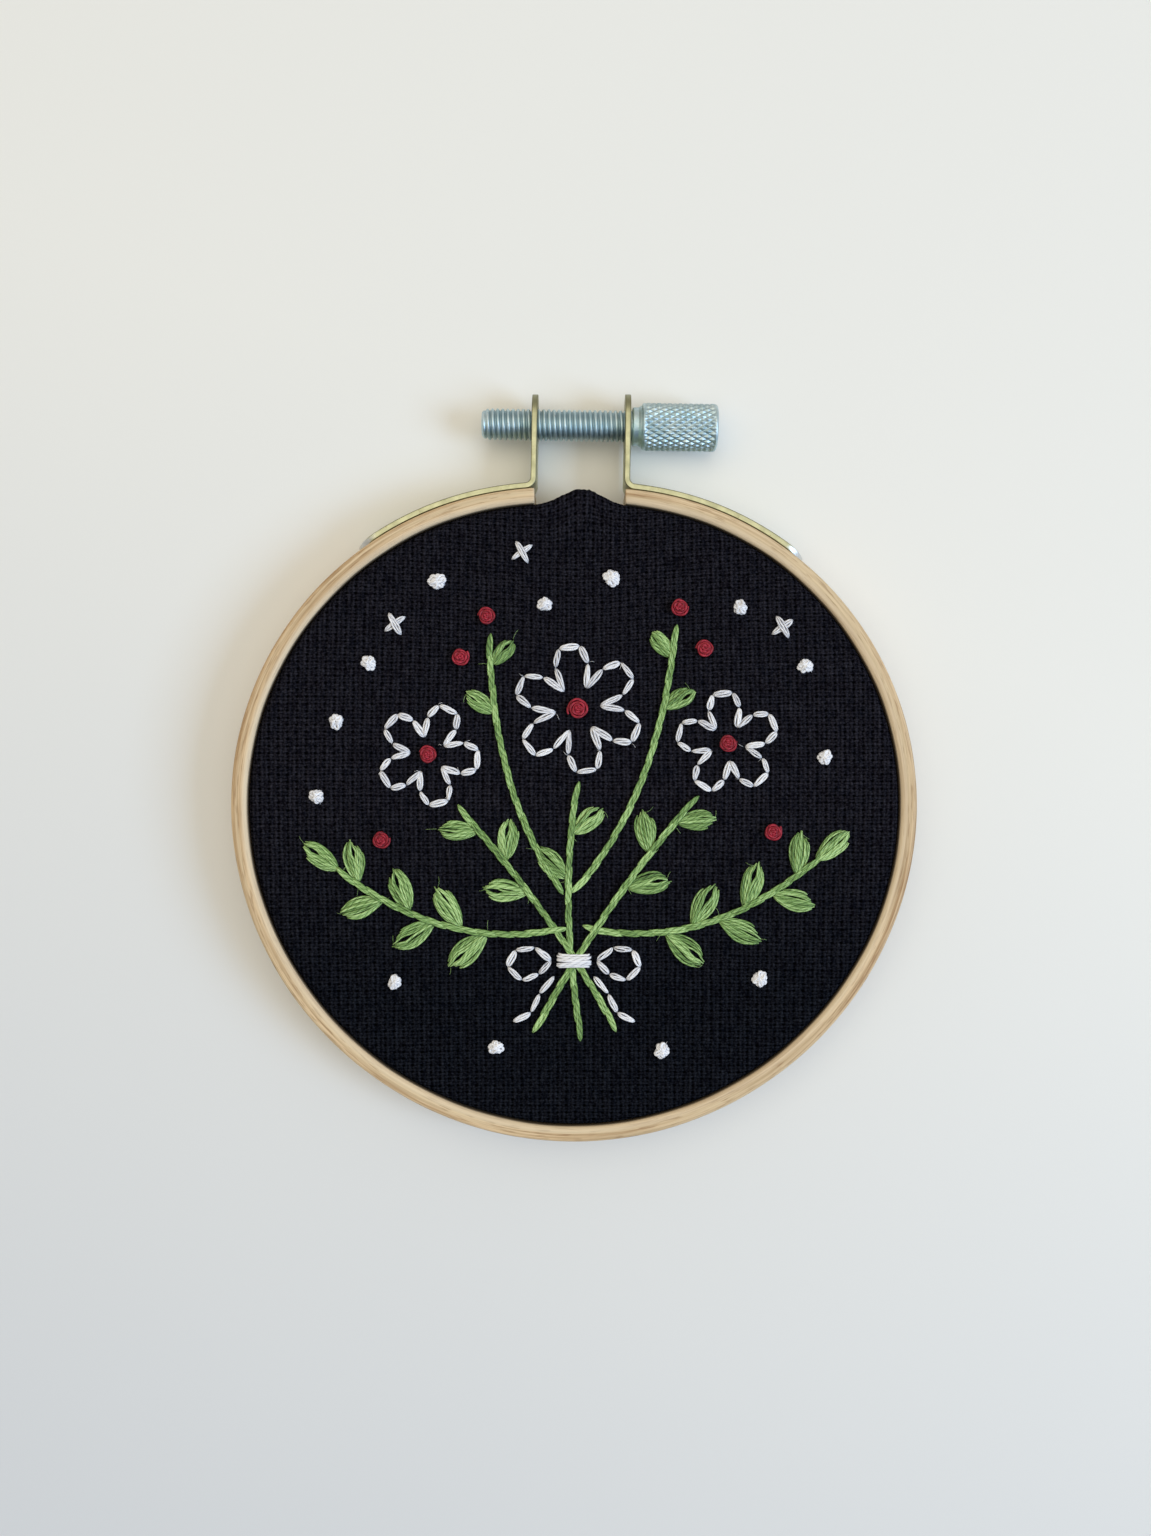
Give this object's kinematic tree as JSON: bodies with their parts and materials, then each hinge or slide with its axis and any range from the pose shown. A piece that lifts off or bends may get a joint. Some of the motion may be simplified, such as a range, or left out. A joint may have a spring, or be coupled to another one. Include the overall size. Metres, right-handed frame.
{
  "type": "embroidered cloth picture in a wooden embroidery hoop",
  "caption": "Small split wooden hoop with a thumb screw that holds stretched black cloth, stitched with a posy of wild flowers; it lies flat or hangs by its screw.",
  "frame": {"origin": "on the surface it lies on, under the middle of the whole object's box; the hoop's centre is 6.86 mm towards -Y of it", "axes": "+Z out of the picture's face, +Y towards the thumb screw at the top of the picture, +X to the right of the picture"},
  "size_m": [0.1054, 0.1158, 0.0107],
  "materials": {
    "beech": "bare pale wood, sanded, fine grain along the rim",
    "black_cloth": "matt black even-weave cotton",
    "yellow_zinc": "steel strip with pale yellow passivated zinc, grey at its cut ends",
    "blue_zinc": "steel with bright blue-white zinc",
    "white_thread": "soft stranded cotton, white",
    "green_thread": "soft stranded cotton, leaf green",
    "red_thread": "soft stranded cotton, deep red"
  },
  "bodies": {
    "hoop": {"outer_ring": "beech", "inner_ring": "beech", "cloth": "black_cloth", "strap_left": "yellow_zinc", "strap_right": "yellow_zinc", "pin_left": "blue_zinc", "pin_right": "blue_zinc", "greenery": "green_thread", "bloom_centre": "white_thread", "bloom_left": "white_thread", "bloom_right": "white_thread", "bloom_eye_centre": "red_thread", "bloom_eye_left": "red_thread", "bloom_eye_right": "red_thread", "bow_loop_left": "white_thread", "bow_loop_right": "white_thread", "bow_tail_left": "white_thread", "bow_tail_right": "white_thread", "bow_band": "white_thread", "knot_1": "white_thread", "knot_2": "white_thread", "knot_3": "white_thread", "knot_4": "white_thread", "knot_5": "white_thread", "knot_6": "white_thread", "knot_7": "white_thread", "knot_8": "white_thread", "knot_9": "white_thread", "knot_10": "white_thread", "knot_11": "white_thread", "knot_12": "white_thread", "knot_13": "white_thread", "cross_1": "white_thread", "cross_2": "white_thread", "cross_3": "white_thread", "berry_1": "red_thread", "berry_2": "red_thread", "berry_3": "red_thread", "berry_4": "red_thread", "berry_5": "red_thread", "berry_6": "red_thread"},
    "thumb_screw": {"thumb_screw": "blue_zinc"}
  },
  "joints": [
    {"name": "thumb_screw_turn", "type": "hinge", "parent": "hoop", "child": "thumb_screw", "pos_m": [0, 0.05319, 0.0045], "axis": [0.9998, -0.0175, 0], "continuous": true}
  ]
}
